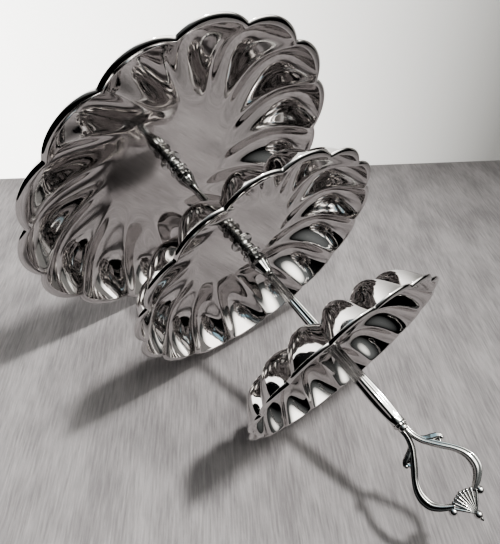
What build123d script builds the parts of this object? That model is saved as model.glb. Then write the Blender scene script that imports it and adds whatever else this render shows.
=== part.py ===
from build123d import *
import os
from math import cos, radians, sin

# Three-tier serving stand: three fluted dishes on a turned centre post with a
# loop handle. Millimetres, +Z up. The origin is on the table under the post.

os.makedirs("parts", exist_ok=True)

# ---- driving dimensions -------------------------------------------------

FLUTES = 15                     # flutes, and rim lobes, of every dish
PITCH = 360 / FLUTES            # angle from one ridge to the next
SHEET = 0.9                     # thickness of the stamped dishes
FLANGE = 0.022                  # width of the rim's flange, as a part of the outer radius
FLANGE_DROP = 1.5               # how far the flange's outer edge turns down
BELLY = 3.0                     # how far the flutes hang below the flat centre
SWIRL = 17.0                    # how far a ridge's inner end lags its outer end

# name: outer radius over the lobes, depth from rim to centre, angle of a ridge
DISHES = {
    "dish_large": (127.0, 27.0, 8.0),
    "dish_medium": (95.5, 24.0, 3.0),
    "dish_small": (74.0, 18.0, 6.0),
}

ROD_R = 2.0                     # threaded rods through the post, M4
RUNNING = 0.06                  # radial clearance of what turns on a rod
BORE_R = ROD_R + 0.15           # clearance bore through ring, vase, tube and cap
PLAY = 0.1                      # axial play of a dish, so that it can turn
WASHER = 0.6                    # thickness of each washer
ENGAGED = 4.4                   # length of thread in the piece above a dish

# one section of the post, as heights above the dish that it stands on
FOOT_FLARE = 4.0                # flared part of the foot
FOOT_TOP = 9.5                  # top of the foot's round bead
RING_TOP = 14.0
VASE_TOP = 32.0
CAP_FOOT = 82.4
CAP_TOP = 87.4
POST = CAP_TOP + WASHER         # whole section, with the washer on its cap

TUBE_FOOT_R = 2.8
TUBE_TOP_R = 4.0
CAP_R = 7.0

STEM = 62.5                     # height of the handle's stem
STEM_BORE = 10.0                # depth of the tapped hole in the stem
COLLAR = 2.5                    # height of the collar under the loop
TENON_R = 1.5                   # tenon that fixes the loop in its stem
TENON = 8.0

# heights from the table up: the flat centre of each dish, and the handle
CENTRE_1 = BELLY + SHEET
CENTRE_2 = CENTRE_1 + POST + SHEET
CENTRE_3 = CENTRE_2 + PLAY + POST + SHEET
STEM_FOOT = CENTRE_3 + PLAY
STEM_TOP = STEM_FOOT + STEM
LOOP_FOOT = STEM_TOP + COLLAR


# ---- dishes -------------------------------------------------------------

# Radial stations of one flute, from the flat centre to the rim. Radii are parts
# of the outer radius, at the ridge and along the middle of the flute. Heights
# are parts of the depth, and the belly is parts of BELLY.
STATIONS = (
    # ridge radius, middle radius, ridge height, middle height, middle belly
    (0.400, 0.400, 0.00, 0.00, 0.00),
    (0.520, 0.520, 0.00, 0.00, 0.34),
    (0.640, 0.640, 0.03, 0.00, 1.45),
    (0.750, 0.780, 0.09, 0.00, 3.01),
    (0.830, 0.890, 0.42, 0.00, 0.00),
    (0.900, 0.950, 1.00, 0.60, 0.00),
    (0.930, 0.968, 1.00, 1.00, 0.00),
)
# Control points across a flute: how far each goes from the ridge's height to the
# middle's, and from the ridge's radius to the middle's. Two points at the ridge's
# height round the ridge over.
HOLLOW = (0, 0, 1, 1, 1, 1, 1, 0, 0)
LOBE = (0, 0.50, 0.79, 0.93, 0.97, 0.93, 0.79, 0.50, 0)
CUSP_INSET = 0.048              # how far the outline's cusps lie inside its lobes
LOBE_BULGE = 0.012              # how far control points of a lobe lie outside it


def swirl(part_of_radius):
    """Angle by which a ridge lags at this part of the outer radius."""
    inward = max(0.0, 0.95 - part_of_radius) / 0.55
    return -SWIRL * inward ** 2.5


def row(radius, ridge_r, middle_r, ridge_z, middle_z):
    """Control points across one flute, from ridge to ridge."""
    points = []
    for step, (hollow, lobe) in enumerate(zip(HOLLOW, LOBE)):
        angle = radians(PITCH * step / (len(HOLLOW) - 1) + swirl(ridge_r))
        r = radius * (ridge_r + lobe * (middle_r - ridge_r))
        z = ridge_z + hollow * (middle_z - ridge_z)
        points.append((r * cos(angle), r * sin(angle), z))
    return points


def dish(radius, depth, centre_z, ridge_angle):
    """A stamped dish with swirling flutes, as one closed shell of sheet."""
    edge = SHEET / 2
    flute = [
        row(radius, ridge_r, middle_r, depth * ridge_z, depth * middle_z - BELLY * belly)
        for ridge_r, middle_r, ridge_z, middle_z, belly in STATIONS
    ]
    ridge_edge = 1 - CUSP_INSET
    lobe_edge = 1 + LOBE_BULGE
    low = depth - FLANGE_DROP
    rim = [
        flute[-1],
        row(radius, ridge_edge - FLANGE / 2, lobe_edge - FLANGE / 2, depth, depth),
        row(radius, ridge_edge, lobe_edge, low, low),
    ]

    def lowered(rows, drop):
        return [[(x, y, z - drop) for x, y, z in points] for points in rows]

    outer = rim[-1]
    bulge = 1 + edge / radius
    edge_rows = [
        outer,
        [(x * bulge, y * bulge, z - edge) for x, y, z in outer],
        lowered([outer], SHEET)[0],
    ]
    patches = [
        Face.make_bezier_surface(rows)
        for rows in (flute, rim, edge_rows, lowered(rim, SHEET), lowered(flute, SHEET))
    ]
    inner_edge = Edge.make_bezier(*flute[0])
    hole = Wire.make_circle(ROD_R + RUNNING)

    faces = []
    for number in range(FLUTES):
        turn = Rotation(0, 0, number * PITCH)
        faces += [turn * patch for patch in patches]
    for drop in (0, SHEET):
        ring = Wire([Rotation(0, 0, number * PITCH) * inner_edge for number in range(FLUTES)])
        disc = Face(ring, [hole])
        faces.append(Pos(0, 0, -drop) * disc)
    faces.append(Pos(0, 0, -SHEET) * Face.extrude(hole.edges()[0], (0, 0, SHEET)))

    solid = Solid(Shell(faces))
    return Pos(0, 0, centre_z) * Rotation(0, 0, ridge_angle) * solid


# ---- turned pieces ------------------------------------------------------

def turned(*outline):
    """Revolve a closed outline of curves drawn as (radius, height)."""
    return revolve(Plane.XZ * make_face(Curve() + list(outline)), Axis.Z)


def washer(inner, outer, bottom, top):
    """A plain ring, or a disc where inner is 0."""
    middle = Pos(0, 0, (bottom + top) / 2)
    ring = middle * Cylinder(outer, top - bottom)
    if inner:
        ring -= middle * Cylinder(inner, top - bottom)
    return ring


def post_foot(z):
    """Flared foot and round bead in one piece, tapped for a rod from each end."""
    bore = ROD_R + RUNNING
    flare, top = z + FOOT_FLARE, z + FOOT_TOP
    return turned(
        Polyline((bore, top), (bore, z), (8.0, z), (8.0, z + 0.8)),
        ThreePointArc((8.0, z + 0.8), (5.0, z + 2.0), (3.8, flare)),
        ThreePointArc((3.8, flare), (5.2, (flare + top) / 2), (3.8, top)),
        Line((3.8, top), (bore, top)),
    )


def post_ring(z):
    """Wide disc with a rounded edge between the foot and the vase."""
    low, high = z + FOOT_TOP, z + RING_TOP
    return turned(
        Polyline((BORE_R, high), (BORE_R, low), (5.6, low)),
        ThreePointArc((5.6, low), (7.0, (low + high) / 2), (5.6, high)),
        Line((5.6, high), (BORE_R, high)),
    )


def post_vase(z):
    """Vase that swells over the ring and tapers to the tube."""
    low, high = z + RING_TOP, z + VASE_TOP
    lip = TUBE_FOOT_R + 0.5
    return turned(
        Polyline((BORE_R, high), (BORE_R, low), (4.2, low)),
        Spline((4.2, low), (6.4, low + 4.6), (4.8, low + 10.6), (lip, high)),
        Line((lip, high), (BORE_R, high)),
    )


def post_tube(z):
    """Slender tube that widens upwards."""
    low, high = z + VASE_TOP, z + CAP_FOOT
    return turned(
        Polyline((BORE_R, low), (TUBE_FOOT_R, low), (TUBE_TOP_R, high), (BORE_R, high), close=True)
    )


def post_cap(z):
    """Cap on the tube that carries the next dish."""
    low, high = z + CAP_FOOT, z + CAP_TOP
    neck = TUBE_TOP_R + 0.4
    return turned(
        Polyline((BORE_R, high), (BORE_R, low), (neck, low)),
        ThreePointArc((neck, low), (5.2, low + 2.6), (CAP_R, high - 1.0)),
        Polyline((CAP_R, high - 1.0), (CAP_R, high), (BORE_R, high)),
    )


def post_rod(z):
    """Rod from the foot, through the dish above, into the next piece."""
    return washer(0, ROD_R, z + ENGAGED + 0.2, z + POST + SHEET + PLAY + ENGAGED)


def base_screw():
    """Slotted screw from below that holds the large dish to the post."""
    head_top = BELLY - 2 * WASHER
    head_foot = head_top - 1.4
    head = washer(0, 4.5, head_foot, head_top)
    shank = washer(0, ROD_R, head_top, CENTRE_1 + ENGAGED - 0.2)
    slot = Pos(0, 0, head_foot) * Box(10.0, 1.0, 1.4)
    return head + shank - slot


# ---- handle -------------------------------------------------------------

# Points of one arm of the loop, as (distance from the axis, height over the
# collar). The arm is a round bar that follows them with rounded corners.
ARM = (
    (1.4, 0.6), (1.5, 8.0), (5.0, 14.5), (9.0, 21.5), (14.6, 26.8),
    (17.8, 34.0), (16.3, 40.5), (11.0, 45.4), (6.0, 48.0),
)
ARM_ROUNDING = 6.0
ARM_WIDE_R = 2.2                # arm's half width across the loop's plane
ARM_THIN_R = 2.0                # and in the loop's plane

# Outline of the leaf on the outer side of each arm, in the same terms.
LEAF_ROOT, LEAF_TIP, LEAF_BACK = (4.6, 12.4), (14.2, 16.0), (8.6, 20.4)

# The shell where the arms meet: half of its outline, and its three balls.
SHELL = ((0.0, 43.0), (2.6, 46.0), (8.4, 45.6), (8.6, 49.4), (1.8, 56.5), (0.0, 56.5))
SHELL_BALLS = ((9.0, 49.0), (-9.0, 49.0), (0.0, 57.2))
BALL_R = 1.8
SPIKE = 3.2                     # length of the point beyond the last ball


def handle_stem():
    """Stem with a flared foot, a waist and a swell below the collar."""
    z, top = STEM_FOOT, STEM_TOP
    bore = ROD_R + RUNNING
    body = turned(
        Polyline((0, top), (0, z), (7.5, z), (7.5, z + 1.0)),
        Spline(
            (7.5, z + 1.0), (4.6, z + 5.0), (4.2, z + 20.0),
            (5.1, z + 44.0), (4.1, top),
        ),
        Line((4.1, top), (0, top)),
    )
    body -= washer(0, bore, z, z + STEM_BORE)
    return body - washer(0, TENON_R, top - TENON, top)


def handle_collar():
    """Beaded collar between the stem and the loop."""
    low, high = STEM_TOP, LOOP_FOOT
    return turned(
        Polyline((TENON_R, high), (TENON_R, low), (3.8, low)),
        ThreePointArc((3.8, low), (4.4, (low + high) / 2), (3.8, high)),
        Line((3.8, high), (TENON_R, high)),
    )


def arm():
    """One arm of the loop, on the +X side."""
    path = Plane.XZ * FilletPolyline(*ARM, radius=ARM_ROUNDING)
    section = Plane(origin=path @ 0, z_dir=path % 0, x_dir=(0, 1, 0)) * Ellipse(
        ARM_WIDE_R, ARM_THIN_R
    )
    return sweep(section, path)


def leaf():
    """Pointed leaf that stands out from the arm on the +X side."""
    (x0, z0), (x1, z1), (x2, z2) = LEAF_ROOT, LEAF_TIP, LEAF_BACK
    outline = Curve() + [
        ThreePointArc((x0, z0), ((x0 + x1) / 2 + 1.6, (z0 + z1) / 2 - 0.2), (x1, z1)),
        Line((x1, z1), (x2, z2)),
        Line((x2, z2), (x0, z0)),
    ]
    return extrude(Plane.XZ * make_face(outline), 1.3, both=True)


def handle_loop():
    """Cast loop: two arms with a leaf on each, joined by a ribbed shell."""
    half = arm() + leaf()
    hub = washer(0, 3.1, 0, 2.4) + washer(0, TENON_R, -COLLAR - TENON, 0)
    right = [(x, z) for x, z in SHELL]
    left = [(-x, z) for x, z in reversed(SHELL)]
    fan = extrude(Plane.XZ * make_face(Polyline(*right, *left[1:])), 1.9, both=True)
    loop = hub + half + mirror(half, Plane.YZ) + fan
    for x, z in SHELL_BALLS:
        loop += Pos(x, 0, z) * Sphere(BALL_R)
    tip = SHELL_BALLS[-1][1]
    loop += Pos(0, 0, tip + BALL_R / 2 + SPIKE / 2) * Cone(1.2, 0.3, SPIKE)
    return Pos(0, 0, LOOP_FOOT) * loop


# ---- the stand ----------------------------------------------------------

def post_section(name, z):
    """The pieces of one section of the post, by node name."""
    return {
        name + "_foot": post_foot(z),
        name + "_ring": post_ring(z),
        name + "_vase": post_vase(z),
        name + "_tube": post_tube(z),
        name + "_cap": post_cap(z),
        name + "_washer": washer(BORE_R, CAP_R - 0.5, z + CAP_TOP, z + POST),
        name + "_rod": post_rod(z),
    }


parts = {}
for (name, (radius, depth, ridge_angle)), centre in zip(
    DISHES.items(), (CENTRE_1, CENTRE_2, CENTRE_3)
):
    parts[name] = dish(radius, depth, centre, ridge_angle)

parts["base_gasket"] = washer(BORE_R, 6.5, BELLY - WASHER, BELLY)
parts["base_washer"] = washer(BORE_R, 5.5, BELLY - 2 * WASHER, BELLY - WASHER)
parts["base_screw"] = base_screw()
parts.update(post_section("lower", CENTRE_1))
parts.update(post_section("upper", CENTRE_2 + PLAY))
parts["handle_stem"] = handle_stem()
parts["handle_collar"] = handle_collar()
parts["handle_loop"] = handle_loop()

for node, shape in parts.items():
    export_step(shape, f"parts/{node}.step")
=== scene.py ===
import math

import bpy
import numpy as np
from mathutils import Matrix, Vector


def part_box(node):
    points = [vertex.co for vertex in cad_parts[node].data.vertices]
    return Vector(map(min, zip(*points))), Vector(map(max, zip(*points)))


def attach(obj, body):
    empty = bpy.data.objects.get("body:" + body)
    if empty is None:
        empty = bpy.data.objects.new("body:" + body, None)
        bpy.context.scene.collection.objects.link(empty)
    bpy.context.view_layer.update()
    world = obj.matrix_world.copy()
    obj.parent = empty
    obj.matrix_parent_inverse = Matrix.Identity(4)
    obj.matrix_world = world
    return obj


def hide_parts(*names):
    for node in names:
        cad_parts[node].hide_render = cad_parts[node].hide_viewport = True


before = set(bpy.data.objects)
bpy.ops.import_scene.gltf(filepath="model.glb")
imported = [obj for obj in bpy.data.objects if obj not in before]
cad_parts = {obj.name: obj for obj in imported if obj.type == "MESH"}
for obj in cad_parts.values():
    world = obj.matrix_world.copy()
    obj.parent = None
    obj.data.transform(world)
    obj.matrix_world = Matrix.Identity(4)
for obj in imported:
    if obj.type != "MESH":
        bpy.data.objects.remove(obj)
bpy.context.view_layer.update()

# A three-tier serving stand of bright metal. Metres, in the CAD's own frame: +Z runs up the
# post, and the loop handle lies in the XZ plane. Outlines of single pieces are written in
# millimetres over the piece's own foot. The stand is shown lying on its rims, so the floor
# of the scene is a plane that leans against the large and the small dish.

MM = 0.001
FLUTES = 15
PITCH = 2 * math.pi / FLUTES


# ---- mesh helpers -------------------------------------------------------

def new_object(name, verts, faces):
    """A smooth-shaded mesh object, in the scene."""
    mesh = bpy.data.meshes.new(name)
    mesh.from_pydata([tuple(v) for v in verts], [], [tuple(f) for f in faces])
    mesh.validate()
    mesh.polygons.foreach_set("use_smooth", [True] * len(mesh.polygons))
    mesh.update()
    obj = bpy.data.objects.new(name, mesh)
    bpy.context.scene.collection.objects.link(obj)
    return obj


def grid_faces(rows, columns, around_rows=False, around_columns=False):
    """Quads of a grid of vertices, closed round either way if asked."""
    faces = []
    for i in range(rows if around_rows else rows - 1):
        for j in range(columns if around_columns else columns - 1):
            i2, j2 = (i + 1) % rows, (j + 1) % columns
            faces.append((
                i * columns + j, i * columns + j2,
                i2 * columns + j2, i2 * columns + j,
            ))
    return faces


def joined(name, shells):
    """One object made of several separate closed shells."""
    verts, faces = [], []
    for shell_verts, shell_faces in shells:
        first = len(verts)
        verts.extend(shell_verts)
        faces.extend(tuple(first + i for i in face) for face in shell_faces)
    return new_object(name, verts, faces)


def smooth_curve(points, steps=8):
    """Points of a Catmull-Rom curve through the given ones."""
    p = np.asarray(points, float)
    p = np.concatenate([[2 * p[0] - p[1]], p, [2 * p[-1] - p[-2]]])
    out = []
    for a, b, c, d in zip(p, p[1:], p[2:], p[3:]):
        for t in np.arange(steps) / steps:
            out.append(0.5 * (2 * b + (c - a) * t + (2 * a - 5 * b + 4 * c - d) * t ** 2
                              + (3 * b - a - 3 * c + d) * t ** 3))
    out.append(p[-2])
    return np.array(out)


def eased(points, size=0.25, sharp=28.0):
    """A closed outline with its sharp corners rounded over, size in the outline's units."""
    p = np.asarray(points, float)
    out = []
    for before, here, after in zip(np.roll(p, 1, axis=0), p, np.roll(p, -1, axis=0)):
        a, b = before - here, after - here
        la, lb = np.linalg.norm(a), np.linalg.norm(b)
        bend = 180 - math.degrees(math.acos(np.clip(a @ b / (la * lb), -1, 1)))
        if bend < sharp:
            out.append(here)
            continue
        start, end = here + a / la * min(size, la / 3), here + b / lb * min(size, lb / 3)
        for t in (0.0, 0.25, 0.5, 0.75, 1.0):
            out.append((1 - t) ** 2 * start + 2 * t * (1 - t) * here + t ** 2 * end)
    return np.array(out)


def bernstein(degree, t):
    """Weights of a Bezier curve's control points at the values t."""
    t = np.asarray(t)[:, None]
    k = np.arange(degree + 1)[None, :]
    binomial = np.array([math.comb(degree, i) for i in range(degree + 1)])
    return binomial * t ** k * (1 - t) ** (degree - k)


# ---- materials ----------------------------------------------------------

def node(tree, kind, **sockets):
    """A shader node with some of its inputs set or linked, by socket name."""
    made = tree.nodes.new(kind)
    for name, value in sockets.items():
        plug(tree, made, name.replace("_", " "), value)
    return made


def plug(tree, made, socket, value):
    if isinstance(value, bpy.types.NodeSocket):
        tree.links.new(value, made.inputs[socket])
    else:
        made.inputs[socket].default_value = value


def noise(tree, place, scale, detail=3.0, stretch=(1, 1, 1)):
    """Values from 0 to 1 of a noise with features of about 1 / scale metres."""
    mapped = node(tree, "ShaderNodeMapping", Vector=place, Scale=stretch)
    made = node(tree, "ShaderNodeTexNoise", Vector=mapped.outputs[0], Scale=scale, Detail=detail)
    return made.outputs["Fac"]


def spread(tree, value, low, high, first=0.3, last=0.7):
    """Map a value that runs from first to last on to the range low to high."""
    made = node(tree, "ShaderNodeMapRange", Value=value)
    made.inputs["From Min"].default_value = first
    made.inputs["From Max"].default_value = last
    made.inputs["To Min"].default_value = low
    made.inputs["To Max"].default_value = high
    return made.outputs["Result"]


def blended(tree, amount, first, second):
    """Mix of two colours."""
    made = tree.nodes.new("ShaderNodeMix")
    made.data_type = "RGBA"
    tree.links.new(amount, made.inputs["Factor"])
    for socket, colour in ((made.inputs[6], first), (made.inputs[7], second)):
        if isinstance(colour, bpy.types.NodeSocket):
            tree.links.new(colour, socket)
        else:
            socket.default_value = (*colour, 1)
    return made.outputs[2]


def new_material(name):
    made = bpy.data.materials.new(name)
    made.use_nodes = True
    tree = made.node_tree
    place = tree.nodes.new("ShaderNodeTexCoord").outputs["Object"]
    return made, tree, tree.nodes["Principled BSDF"], place


def metal(name, bright, dull, rough, ripple, hollow_shade=0.0, fine=900.0):
    """Polished or plated metal with smudges, fine scratches, slight ripples and painted shade in its
    hollows.

    bright, dull: the two colours that it drifts between
    rough: lowest and highest roughness
    ripple: depth of the ripples, in metres
    hollow_shade: how dark the shade painted in the hollows is
    """
    made, tree, shader, place = new_material(name)
    shader.inputs["Metallic"].default_value = 1.0
    cloud = noise(tree, place, 22.0, 4.0)
    colour = blended(tree, spread(tree, cloud, 0.0, 1.0), bright, dull)
    # painted shade: where the surface curves inwards, the base colour is mixed towards near black
    if hollow_shade:
        shape = tree.nodes.new("ShaderNodeNewGeometry").outputs["Pointiness"]
        hollow = spread(tree, shape, hollow_shade, 0.0, 0.44, 0.5)
        colour = blended(tree, hollow, colour, (0.03, 0.028, 0.026))
    tree.links.new(colour, shader.inputs["Base Color"])
    smudge = noise(tree, place, 60.0, 5.0)
    scratch = noise(tree, place, fine, 2.0, (1.0, 0.12, 1.0))
    both = node(tree, "ShaderNodeMath")
    both.operation = "MULTIPLY"
    tree.links.new(smudge, both.inputs[0])
    tree.links.new(scratch, both.inputs[1])
    worn = spread(tree, both.outputs[0], rough[0], rough[1], 0.15, 0.38)
    tree.links.new(worn, shader.inputs["Roughness"])
    bump = node(tree, "ShaderNodeBump", Height=noise(tree, place, 45.0, 1.0), Distance=ripple)
    tree.links.new(bump.outputs[0], shader.inputs["Normal"])
    return made


def rubber():
    made, tree, shader, place = new_material("washer_rubber")
    grain = noise(tree, place, 1500.0, 4.0)
    tree.links.new(blended(tree, spread(tree, grain, 0.0, 1.0), (0.02, 0.02, 0.02), (0.05, 0.05, 0.048)),
                   shader.inputs["Base Color"])
    tree.links.new(spread(tree, grain, 0.55, 0.8), shader.inputs["Roughness"])
    bump = node(tree, "ShaderNodeBump", Height=grain, Distance=0.00005)
    tree.links.new(bump.outputs[0], shader.inputs["Normal"])
    return made


DISH_METAL = metal("dish_plate", (0.68, 0.66, 0.655), (0.61, 0.595, 0.59), (0.035, 0.13), 0.00006)
POST_METAL = metal("post_plate", (0.66, 0.66, 0.655), (0.55, 0.55, 0.545), (0.05, 0.16), 0.00005, 0.6)
CAST_METAL = metal("cast_plate", (0.66, 0.655, 0.65), (0.50, 0.50, 0.49), (0.08, 0.24), 0.00008, 0.9)
ZINC = metal("zinc_plate", (0.60, 0.60, 0.58), (0.46, 0.46, 0.45), (0.25, 0.42), 0.00003)
RUBBER = rubber()

SECTION = ("foot", "ring", "vase", "tube", "cap", "washer", "rod")
BODIES = {
    "base": ("dish_large", "base_gasket", "base_washer", "base_screw", *("lower_" + n for n in SECTION)),
    "medium_tray": ("dish_medium",),
    "upper_post": tuple("upper_" + n for n in SECTION),
    "small_tray": ("dish_small",),
    "handle": ("handle_stem", "handle_collar", "handle_loop"),
}


def stands_for(obj, cad_node, material):
    """Let a new piece take the place of a CAD node, on its body, in a material."""
    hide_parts(cad_node)
    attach(obj, next(body for body, nodes in BODIES.items() if cad_node in nodes))
    obj.data.materials.append(material)


# ---- dishes -------------------------------------------------------------

SHEET = 0.9 * MM
FLANGE = 0.022                  # part of the outer radius
FLANGE_DROP = 1.5 * MM
BELLY = 3.0 * MM
SWIRL = math.radians(17.0)
CUSP_INSET = 0.048
LOBE_BULGE = 0.012
HOLE = 2.06 * MM
STATIONS = (
    # radius at the ridge and at mid-flute, heights there as parts of the depth, belly
    (0.400, 0.400, 0.00, 0.00, 0.00),
    (0.520, 0.520, 0.00, 0.00, 0.34),
    (0.640, 0.640, 0.03, 0.00, 1.45),
    (0.750, 0.780, 0.09, 0.00, 3.01),
    (0.830, 0.890, 0.42, 0.00, 0.00),
    (0.900, 0.950, 1.00, 0.60, 0.00),
    (0.930, 0.968, 1.00, 1.00, 0.00),
)
HOLLOW = (0, 0, 1, 1, 1, 1, 1, 0, 0)
LOBE = (0, 0.50, 0.79, 0.93, 0.97, 0.93, 0.79, 0.50, 0)
DISHES = {
    # node: outer radius over the lobes, depth, angle of a ridge in degrees
    "dish_large": (127.0 * MM, 27.0 * MM, 8.0),
    "dish_medium": (95.5 * MM, 24.0 * MM, 3.0),
    "dish_small": (74.0 * MM, 18.0 * MM, 6.0),
}
COLUMNS = 28                    # columns of vertices across one flute
DISC_ROWS = 8                   # rows of vertices from the hole to the flutes
FLUTE_ROWS = 50
RIM_ROWS = 9
CROWDING = 0.45                 # how far the columns crowd towards the ridges


def swirl(part):
    """Angle by which a flute has turned back at a part of the outer radius."""
    inward = max(0.0, 0.95 - part) / 0.55
    return -SWIRL * inward ** 2.5


def control_row(radius, ridge_r, middle_r, ridge_z, middle_z):
    """Control points across one flute, from ridge to ridge."""
    points = []
    for step, (hollow, lobe) in enumerate(zip(HOLLOW, LOBE)):
        angle = PITCH * step / (len(HOLLOW) - 1) + swirl(ridge_r)
        r = radius * (ridge_r + lobe * (middle_r - ridge_r))
        z = ridge_z + hollow * (middle_z - ridge_z)
        points.append((r * math.cos(angle), r * math.sin(angle), z))
    return points


def sector(radius, depth):
    """Rows of points of one flute, from the hole at the centre out to the rim's edge."""
    flute = np.array([
        control_row(radius, a, b, depth * c, depth * d - BELLY * e) for a, b, c, d, e in STATIONS
    ])
    ridge = 1 - CUSP_INSET
    lobe = 1 + LOBE_BULGE
    low = depth - FLANGE_DROP
    rim = np.array([
        flute[-1],
        control_row(radius, ridge - FLANGE / 2, lobe - FLANGE / 2, depth, depth),
        control_row(radius, ridge, lobe, low, low),
    ])
    even = np.linspace(0, 1, COLUMNS + 1)
    across = CROWDING * (0.5 - 0.5 * np.cos(math.pi * even)) + (1 - CROWDING) * even
    side = bernstein(len(HOLLOW) - 1, across[:-1])
    flute_weights = bernstein(len(flute) - 1, np.linspace(0, 1, FLUTE_ROWS))
    rim_weights = bernstein(len(rim) - 1, np.linspace(0, 1, RIM_ROWS))
    flute_rows = np.einsum("ui,vj,ijk->uvk", flute_weights, side, flute)
    rim_rows = np.einsum("ui,vj,ijk->uvk", rim_weights, side, rim)
    inner = flute_rows[0]
    size = np.linalg.norm(inner[:, :2], axis=1)[:, None]
    disc = []
    for part in np.linspace(0, 1, DISC_ROWS)[:-1]:
        r = HOLE + (size - HOLE) * part
        disc.append(np.concatenate([inner[:, :2] / size * r, inner[:, 2:]], axis=1))
    return np.concatenate([np.array(disc), flute_rows, rim_rows[1:]])


def dish(cad_node, radius, depth, ridge_angle):
    """A fluted dish of sheet metal, thickened along its own normals."""
    rows = sector(radius, depth)
    turned = []
    for k in range(FLUTES):
        angle = k * PITCH + math.radians(ridge_angle)
        c, s = math.cos(angle), math.sin(angle)
        turned.append(rows @ np.array([[c, s, 0], [-s, c, 0], [0, 0, 1]]))
    top = np.concatenate(turned, axis=1)
    top[:, :, 2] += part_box(cad_node)[1][2] - depth
    out = np.gradient(top, axis=0)
    along = np.roll(top, -1, axis=1) - np.roll(top, 1, axis=1)
    normal = np.cross(out, along)
    normal /= np.linalg.norm(normal, axis=2)[:, :, None]
    under = top - SHEET * normal
    outward = top[-1] - top[-2]
    outward /= np.linalg.norm(outward, axis=1)[:, None]
    edge = []
    for turn in np.linspace(0, math.pi, 7)[1:-1]:
        share = (1 + math.cos(turn)) / 2
        edge.append(top[-1] * share + under[-1] * (1 - share) + outward * SHEET / 2 * math.sin(turn))
    verts = np.concatenate([top, np.array(edge), under[::-1]])
    faces = grid_faces(verts.shape[0], verts.shape[1], True, True)
    return new_object(cad_node + "_sheet", verts.reshape(-1, 3), faces)


for cad_node, (radius, depth, ridge_angle) in DISHES.items():
    stands_for(dish(cad_node, radius, depth, ridge_angle), cad_node, DISH_METAL)


# ---- turned pieces of the post ------------------------------------------

def lathe_shell(outline, foot, bore=None, slices=120, lobes=0, cut=0.0, span=(0, 1)):
    """Verts and faces of a turned piece.

    outline: (radius, height) up the outside, in millimetres over foot, which is in metres
    bore: radius of the hole through it, or None where its ends are closed
    lobes, cut: flutes cut lengthwise into it, and their depth as a part of the radius
    span: heights between which the flutes run, fading out at both ends
    """
    outside = [tuple(p) for p in outline]
    inside = bore or 0.01
    closed = eased([(inside, outside[0][1]), *outside, (inside, outside[-1][1])])
    angles = np.arange(slices) * 2 * math.pi / slices
    verts = []
    for r, z in closed:
        part = np.clip((z - span[0]) / (span[1] - span[0]), 0, 1)
        deep = cut * min(1.0, 3.2 * math.sin(math.pi * part)) if r > inside + 0.3 else 0.0
        ripple = 1 - deep * (0.5 + 0.5 * np.cos(lobes * angles)) if lobes else np.ones(slices)
        for angle, factor in zip(angles, ripple):
            reach = r * MM * factor
            verts.append((reach * math.cos(angle), reach * math.sin(angle), foot + z * MM))
    return verts, grid_faces(len(closed), slices, True, True)


def foot_outline():
    flare = smooth_curve([(8.0, 0.9), (6.6, 1.3), (4.9, 2.2), (3.9, 4.0)])
    bead = smooth_curve([(3.9, 4.5), (5.0, 5.4), (5.3, 6.7), (5.0, 8.0), (3.9, 8.9)])
    return [(8.0, 0.0), *flare, (4.3, 4.1), (4.3, 4.4), *bead, (3.9, 9.5)]


def ring_outline():
    bead = smooth_curve([(5.2, 0.9), (6.4, 1.2), (7.0, 2.1), (6.4, 3.0), (5.2, 3.3)])
    return [(4.7, 0.0), (4.7, 0.8), *bead, (4.5, 3.6), (4.5, 4.5)]


VASE = smooth_curve([
    (4.2, 0.0), (5.6, 1.5), (6.4, 4.6), (6.0, 7.6), (4.9, 10.8), (3.9, 14.0), (3.4, 16.4), (3.3, 18.0),
])
TUBE = [(2.8 + 1.2 * t, 50.4 * t) for t in np.linspace(0, 1, 40)]
CAP = [*smooth_curve([(4.4, 0.0), (4.7, 1.4), (5.4, 2.7), (7.0, 3.9)]), (7.0, 5.0)]
TURNED = {
    # name: outline, number of flutes, depth of the flutes, heights between which they run
    "foot": (foot_outline(), 0, 0.0, (0, 1)),
    "ring": (ring_outline(), 16, 0.05, (0.2, 4.0)),
    "vase": (VASE, 10, 0.06, (0.6, 17.4)),
    "tube": (TUBE, 8, 0.14, (1.0, 49.8)),
    "cap": (CAP, 0, 0.0, (0, 1)),
}
BORE = 2.15

for section in ("lower", "upper"):
    for name, (outline, lobes, cut, span) in TURNED.items():
        cad_node = section + "_" + name
        shell = lathe_shell(outline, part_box(cad_node)[0][2], BORE, 120, lobes, cut, span)
        stands_for(joined(cad_node + "_turned", [shell]), cad_node, POST_METAL)


# ---- handle -------------------------------------------------------------

STEM = [
    (7.5, 0.0), (7.5, 0.9),
    *smooth_curve([
        (6.9, 1.4), (5.2, 3.2), (4.6, 6.0), (4.25, 12.0), (4.3, 22.0), (4.75, 33.0),
        (5.1, 43.0), (4.85, 51.0), (4.3, 58.0), (4.1, 61.5),
    ]),
    (4.1, 62.5),
]
stem = lathe_shell(STEM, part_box("handle_stem")[0][2], 2.06, 144, 6, 0.15, (3.0, 62.2))
stands_for(joined("handle_stem_fluted", [stem]), "handle_stem", POST_METAL)

COLLAR = smooth_curve([(3.9, 0.0), (4.3, 0.5), (4.4, 1.2), (4.2, 1.9), (3.6, 2.5)], 5)
collar = lathe_shell(COLLAR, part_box("handle_collar")[0][2], 1.5, 112, 10, 0.07, (-0.4, 2.9))
stands_for(joined("handle_collar_notched", [collar]), "handle_collar", CAST_METAL)

LOOP_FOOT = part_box("handle_collar")[1][2]
ARM = (
    (1.4, 0.0), (1.6, 6.0), (3.4, 11.4), (6.4, 15.8), (10.0, 20.4), (13.9, 25.2),
    (16.7, 30.2), (17.6, 35.0), (16.6, 39.6), (13.8, 43.0), (10.2, 45.6), (6.4, 47.6),
)
LEAF = ((3.4, 10.2), (5.6, 12.6), (8.4, 14.2), (11.2, 15.3), (12.9, 16.6), (12.6, 17.9))
LEAF_BACK = ((10.6, 21.6), (10.6, 19.0), (11.6, 17.0))


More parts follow.
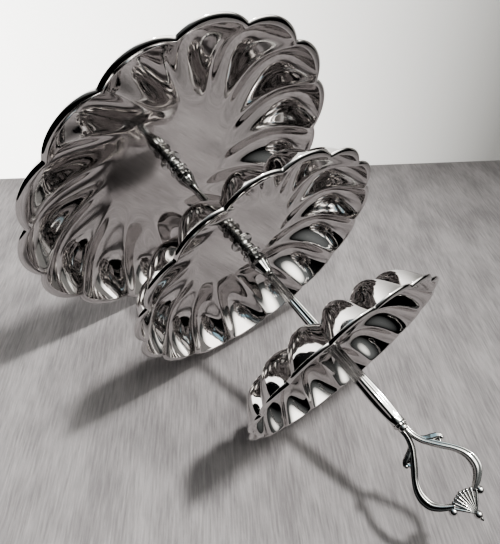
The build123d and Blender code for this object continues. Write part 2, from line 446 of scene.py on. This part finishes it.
def bar(points, wide, thin, grooves=0, cut=0.0, side=1, sections=20, y=0.0):
    """Verts and faces of a bar that follows points (x, height) in the loop's plane.

    wide, thin: half widths through the plane and in it, one for each point, in mm
    grooves, cut: grooves that run along the bar, and their depth as a part of its size
    side: 1, or -1 for the mirrored bar
    """
    steps = 7
    path = smooth_curve(points, steps)
    at = np.arange(len(path)) / steps
    wides = np.interp(at, range(len(points)), np.broadcast_to(wide, len(points)))
    thins = np.interp(at, range(len(points)), np.broadcast_to(thin, len(points)))
    verts = []
    for (x, z), (dx, dz), w, t in zip(path, np.gradient(path, axis=0), wides, thins):
        length = math.hypot(dx, dz)
        across = (dz / length, -dx / length)
        for turn in np.arange(sections) * 2 * math.pi / sections:
            ripple = 1 - cut * (0.5 + 0.5 * math.cos(grooves * turn))
            inplane = t * ripple * math.cos(turn)
            through = w * ripple * math.sin(turn)
            verts.append((
                side * (x + across[0] * inplane) * MM, (y + through) * MM,
                LOOP_FOOT + (z + across[1] * inplane) * MM,
            ))
    faces = grid_faces(len(path), sections, False, True)
    faces.append(tuple(range(sections))[::-1])
    faces.append(tuple(len(verts) - sections + i for i in range(sections)))
    return verts, faces if side > 0 else [face[::-1] for face in faces]


def ball(x, z, radius, y=0.0, rings=14, slices=24):
    """Verts and faces of a ball in the loop's plane."""
    verts = []
    for polar in np.linspace(0.02, math.pi - 0.02, rings):
        for turn in np.arange(slices) * 2 * math.pi / slices:
            verts.append((
                (x + radius * math.sin(polar) * math.cos(turn)) * MM,
                (y + radius * math.sin(polar) * math.sin(turn)) * MM,
                LOOP_FOOT + (z + radius * math.cos(polar)) * MM,
            ))
    faces = grid_faces(rings, slices, False, True)
    faces.append(tuple(range(slices))[::-1])
    faces.append(tuple(len(verts) - slices + i for i in range(slices)))
    return verts, [face[::-1] for face in faces]


SHELL_TIP = (0.0, 56.6)
SHELL_RIBS = 9
RIB_WIDE = (0.7, 1.15, 1.1)     # half widths from the shell's tip to its inner edge
RIB_THIN = (0.5, 0.85, 0.95)
RIB_OFFSET = 0.75               # of the ribs on each face from the loop's plane
RIB_END = 1.15
SHELL_EDGE = ((-8.2, 47.6), (-5.2, 45.6), (-2.6, 45.0), (0.0, 44.2), (2.6, 45.0), (5.2, 45.6), (8.2, 47.6))


def shell_ribs():
    """Ribs that fan out from the shell's tip to its inner edge, on both faces."""
    edge = smooth_curve(SHELL_EDGE, 8)
    ribs = []
    for part in np.linspace(0, 1, SHELL_RIBS):
        x, z = edge[round(part * (len(edge) - 1))]
        middle = (SHELL_TIP[0] * 0.5 + x * 0.5, SHELL_TIP[1] * 0.5 + z * 0.5)
        rib = [SHELL_TIP, middle, (x, z)]
        for y in (-RIB_OFFSET, RIB_OFFSET):
            ribs.append(bar(rib, RIB_WIDE, RIB_THIN, sections=12, y=y))
        ribs.append(ball(x, z, RIB_END))
    return ribs


pieces = [
    lathe_shell([(3.1, 0.0), (3.3, 0.8), (3.0, 2.0), (2.4, 2.6)], LOOP_FOOT, None, 48),
    ball(0.0, 57.4, 2.3),
    lathe_shell([(1.3, 57.6), (1.15, 59.2), (0.75, 60.6), (0.3, 61.3)], LOOP_FOOT, None, 24),
    *shell_ribs(),
]
ARM_WIDE = (2.3, 2.2, 2.2, 2.3, 2.4, 2.2, 2.2, 2.4, 2.4, 2.2, 2.1, 1.8)
ARM_THIN = (1.9, 1.9, 2.0, 2.1, 2.2, 2.1, 2.5, 3.0, 2.9, 2.4, 2.0, 1.6)
for side in (1, -1):
    pieces += [
        bar(ARM, ARM_WIDE, ARM_THIN, 5, 0.22, side, 40),
        bar(LEAF, (1.4, 1.7, 1.9, 1.7, 1.3, 0.7), (1.2, 1.9, 2.4, 2.1, 1.5, 0.8), 5, 0.2, side),
        bar(LEAF_BACK, (1.3, 1.5, 1.0), (1.2, 1.4, 0.8), 5, 0.2, side),
        ball(side * 12.8, 17.4, 1.3),
        ball(side * 9.2, 49.0, 2.3),
    ]
stands_for(joined("handle_loop_cast", pieces), "handle_loop", CAST_METAL)


# ---- CAD pieces that keep their shape -----------------------------------

KEPT = {
    "base_gasket": RUBBER, "base_washer": ZINC, "base_screw": ZINC,
    "lower_washer": RUBBER, "upper_washer": RUBBER, "lower_rod": ZINC, "upper_rod": ZINC,
}
for cad_node, material in KEPT.items():
    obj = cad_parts[cad_node]
    for material_slot in obj.material_slots:
        material_slot.material = material


# ---- floor and wall -----------------------------------------------------

LEAN_AZIMUTH = math.radians(57.0)       # side of the stand that lies on the floor


def lean():
    """Unit normal and offset of the plane that touches the rims of two dishes."""
    azimuth = LEAN_AZIMUTH
    r1, z1 = DISHES["dish_large"][0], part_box("dish_large")[1][2]
    r3, z3 = DISHES["dish_small"][0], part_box("dish_small")[1][2]
    tilt = math.atan2(r1 - r3, z3 - z1)
    flat = math.cos(tilt)
    normal = Vector((math.cos(azimuth) * flat, math.sin(azimuth) * flat, math.sin(tilt)))
    return normal, r1 * flat + z1 * math.sin(tilt)


down, down_offset = lean()
up = -down
wall_along = Vector((-0.781, 0.305, 0.545))
wall_along = (wall_along - down * wall_along.dot(down)).normalized()
wall_out = down.cross(wall_along)
if wall_out.y > 0:
    wall_out = -wall_out
corner = Vector((-0.066, 0.237, -0.088))
corner += down * (down_offset - corner.dot(down))


# The wall's glow is painted light: it stands in for the light that falls on the wall, and its fade to the
# right is a painted shadow.
WALL_PAINTED_LIGHT = 2.4
GLOW_RIGHT = 0.10               # part of the wall's painted light that is left at its right, where a shadow is painted
GLOW_SPAN = (-0.25, 0.30)       # distance along the wall over which the painted light fades into painted shadow
GLOW_BOUNCED = 0.03             # part of it that lights matt surfaces


def stage_plane(name, facing, side_a, reach_a, side_b, reach_b):
    """A sheet of the surroundings from the corner line, with its lengths in metres as its UVs."""
    spots = [(reach_a[i], reach_b[j]) for i, j in ((0, 0), (1, 0), (1, 1), (0, 1))]
    if side_a.cross(side_b).dot(facing) < 0:
        spots.reverse()
    mesh = bpy.data.meshes.new(name)
    mesh.from_pydata([tuple(corner + side_a * a + side_b * b) for a, b in spots], [], [(0, 1, 2, 3)])
    layer = mesh.uv_layers.new(name="metres")
    for loop, spot in zip(layer.data, spots):
        loop.uv = spot
    obj = bpy.data.objects.new(name, mesh)
    bpy.context.scene.collection.objects.link(obj)
    return obj


def stage_paint(obj, colour, second, threads, crumple, glow=0.0):
    """Matt paint that is seen from one side only, with painted light if it is given a glow.

    threads: frequency of fine threads across the sheet, with their depth in metres
    crumple: frequency of its larger unevenness, with its depth in metres
    glow: painted light that it gives off though it is no lamp, fading towards its right into a painted
    shadow
    """
    made, tree, shader, _ = new_material(obj.name + "_paint")
    place = tree.nodes.new("ShaderNodeTexCoord").outputs["UV"]
    fine = noise(tree, place, threads[0], 3.0, (1.0, 0.07, 1.0))
    large = noise(tree, place, crumple[0], 5.0, (1.0, 0.45, 1.0))
    both = node(tree, "ShaderNodeMath")
    both.operation = "ADD"
    tree.links.new(fine, both.inputs[0])
    tree.links.new(large, both.inputs[1])
    share = spread(tree, both.outputs[0], 0.0, 1.0, 0.75, 1.25)
    tree.links.new(blended(tree, share, colour, second), shader.inputs["Base Color"])
    tree.links.new(spread(tree, fine, 0.8, 0.95), shader.inputs["Roughness"])
    # painted light: the sheet glows as if lit, fades into a painted shadow along its length, and lights
    # matt surfaces only a little
    if glow:
        shader.inputs["Emission Color"].default_value = (1.0, 0.995, 0.96, 1)
        along = node(tree, "ShaderNodeSeparateXYZ", Vector=place).outputs["X"]
        lit = spread(tree, along, glow, GLOW_RIGHT * glow, *GLOW_SPAN)
        bounced = tree.nodes.new("ShaderNodeLightPath").outputs["Is Diffuse Ray"]
        dimmed = node(tree, "ShaderNodeMath", Value=lit)
        dimmed.operation = "MULTIPLY"
        tree.links.new(spread(tree, bounced, 1.0, GLOW_BOUNCED, 0.0, 1.0), dimmed.inputs[1])
        tree.links.new(dimmed.outputs[0], shader.inputs["Emission Strength"])
    rough = node(tree, "ShaderNodeBump", Height=large, Distance=crumple[1])
    threaded = node(tree, "ShaderNodeBump", Height=fine, Distance=threads[1], Normal=rough.outputs[0])
    tree.links.new(threaded.outputs[0], shader.inputs["Normal"])
    back = tree.nodes.new("ShaderNodeNewGeometry").outputs["Backfacing"]
    clear = node(tree, "ShaderNodeBsdfTransparent")
    mixed = tree.nodes.new("ShaderNodeMixShader")
    tree.links.new(back, mixed.inputs[0])
    tree.links.new(shader.outputs[0], mixed.inputs[1])
    tree.links.new(clear.outputs[0], mixed.inputs[2])
    tree.links.new(mixed.outputs[0], tree.nodes["Material Output"].inputs[0])
    obj.data.materials.append(made)


floor = stage_plane("floor", up, wall_along, (-0.6, 0.5), wall_out, (0.0, 0.53))
stage_paint(floor, (0.34, 0.325, 0.335), (0.54, 0.52, 0.53), (700.0, 0.0005), (45.0, 0.003))
wall = stage_plane("wall", wall_out, wall_along, (-0.9, 0.9), up, (0.0, 0.9))
# painted light: the wall's brightness comes from its own glow, not from a lamp
stage_paint(wall, (0.38, 0.37, 0.35), (0.40, 0.39, 0.37), (60.0, 0.0), (12.0, 0.0005), WALL_PAINTED_LIGHT)


# ---- camera -------------------------------------------------------------

camera = bpy.data.objects.new("camera", bpy.data.cameras.new("camera"))
bpy.context.scene.collection.objects.link(camera)
bpy.context.scene.camera = camera
camera.data.sensor_width = 36.0
camera.data.lens = 35.88
look = Vector((0.0246, 0.9223, -0.3858)).normalized()
right = Vector((-0.7542, 0.2704, 0.5984))
above = right.cross(look).normalized()
right = look.cross(above)
camera.matrix_world = (
    Matrix.Translation((-0.00016, -0.3327, 0.2526)) @ Matrix((right, above, -look)).transposed().to_4x4()
)


# ---- light --------------------------------------------------------------

STAND_MIDDLE = Vector((0.0, 0.0, 0.18))
WINDOW = (-0.807, -0.590, -0.029)       # direction of the window that casts the shadows
WINDOW_GLOW = (-0.90, -0.42, 0.10)      # the bright room next to it, which only metal mirrors
ROOM_GLOW = (-0.80, -0.60, 0.0)         # its wide and dim surroundings
SKYLIGHT = (-0.45, -0.75, -0.48)        # a small bluish patch


def spot_light(name, direction, distance, target, radius, cone, power, colour):
    """A soft round light that shines from a direction on a target, and fades out round it."""
    data = bpy.data.lights.new(name, "SPOT")
    data.shadow_soft_size = radius
    data.spot_size = math.radians(cone)
    data.spot_blend = 1.0
    data.energy = power
    data.color = colour
    obj = bpy.data.objects.new(name, data)
    bpy.context.scene.collection.objects.link(obj)
    obj.location = STAND_MIDDLE + Vector(direction).normalized() * distance
    obj.rotation_euler = (Vector(target) - obj.location).to_track_quat("-Z", "Y").to_euler()
    return obj


aim = corner + wall_along * -0.30 + wall_out * 0.30
spot_light("window", WINDOW, 2.2, aim, 0.11, 34.0, 138.0, (1.0, 0.98, 0.95))

world = bpy.data.worlds.new("room")
bpy.context.scene.world = world
world.use_nodes = True
tree = world.node_tree
tree.nodes.remove(tree.nodes["Background"])
facing = tree.nodes.new("ShaderNodeTexCoord").outputs["Generated"]


def brightness(direction, low, high, first, last):
    """Strength that rises from low to high as the angle to a direction closes."""
    towards = tree.nodes.new("ShaderNodeVectorMath")
    towards.operation = "DOT_PRODUCT"
    tree.links.new(facing, towards.inputs[0])
    towards.inputs[1].default_value = Vector(direction).normalized()
    return spread(tree, towards.outputs["Value"], low, high, first, last)


def light_from(colour, strength):
    """A light of one colour, with a number or a socket for its strength."""
    made = node(tree, "ShaderNodeBackground", Strength=strength)
    made.inputs["Color"].default_value = (*colour, 1)
    return made.outputs[0]


def summed(first, second):
    """Two lights at once."""
    made = tree.nodes.new("ShaderNodeAddShader")
    tree.links.new(first, made.inputs[0])
    tree.links.new(second, made.inputs[1])
    return made.outputs[0]


def either(chosen, first, second):
    """The second light where chosen is 1, and the first one elsewhere."""
    made = tree.nodes.new("ShaderNodeMixShader")
    tree.links.new(chosen, made.inputs[0])
    tree.links.new(first, made.inputs[1])
    tree.links.new(second, made.inputs[2])
    return made.outputs[0]


room = light_from((0.9, 0.96, 1.0), brightness(up, 0.003, 0.045, 0.1, 0.95))
beside_window = light_from((1.0, 0.98, 0.92), brightness(WINDOW_GLOW, 0.0, 2.6, 0.74, 0.92))
broad = light_from((0.96, 1.0, 0.98), brightness(ROOM_GLOW, 0.0, 0.30, 0.30, 0.80))
skylight = light_from((0.40, 0.80, 1.0), brightness(SKYLIGHT, 0.0, 0.8, 0.95, 0.985))
mirrored = summed(summed(room, beside_window), summed(broad, skylight))
backdrop = light_from((0.8, 0.8, 0.79), 1.0)
ray = tree.nodes.new("ShaderNodeLightPath").outputs
lit = either(ray["Is Diffuse Ray"], mirrored, room)
lit = either(ray["Is Camera Ray"], lit, backdrop)
tree.links.new(lit, tree.nodes["World Output"].inputs[0])

view = bpy.context.scene.view_settings
view.view_transform = "AgX"
view.look = "AgX - High Contrast"
view.exposure = -0.12
